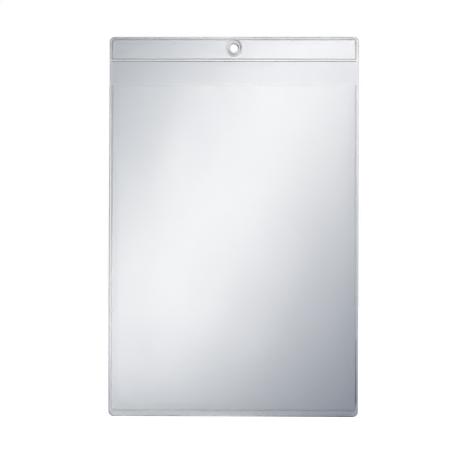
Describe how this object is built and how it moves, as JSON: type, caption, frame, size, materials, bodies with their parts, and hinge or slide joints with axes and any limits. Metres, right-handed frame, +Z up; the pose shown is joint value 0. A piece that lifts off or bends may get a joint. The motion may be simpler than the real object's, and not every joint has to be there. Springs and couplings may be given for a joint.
{
  "type": "hanging document pocket",
  "caption": "Clear film pocket for an A4 sheet, welded at the sides and bottom and open at its top lip, with a doubled header strip and an eyelet to hang it by.",
  "frame": {"origin": "centre of the eyelet's bore, half way through its depth, where the header strip lies on the back film", "axes": "+Z up along the pocket's height, +X to the right seen from the front, +Y out of the back; the front faces -Y"},
  "size_m": [0.22, 0.0028, 0.335],
  "materials": {
    "clear_film": "gloss",
    "welded_film": "gloss",
    "eyelet_plastic": "gloss"
  },
  "bodies": {
    "header": {"back_sheet_header": "clear_film", "header_strip": "clear_film", "header_weld_top": "welded_film", "header_weld_bottom": "welded_film", "header_weld_left": "welded_film", "header_weld_right": "welded_film", "eyelet_front": "eyelet_plastic", "eyelet_back": "eyelet_plastic"},
    "pocket": {"back_sheet_pocket": "clear_film", "side_weld_left": "welded_film", "side_weld_right": "welded_film", "bottom_weld": "welded_film"},
    "front": {"front_sheet": "clear_film"}
  },
  "joints": [
    {"name": "header_fold", "type": "hinge", "parent": "header", "child": "pocket", "pos_m": [0, 0.00015, -0.022], "axis": [1, 0, 0], "range_deg": [-135, 135]},
    {"name": "mouth_open", "type": "hinge", "parent": "pocket", "child": "front", "pos_m": [0, -0.00055, -0.31905], "axis": [1, 0, 0], "range_deg": [0, 6], "stiffness_Nm_per_rad": 0.4, "springref_deg": -1.72}
  ]
}
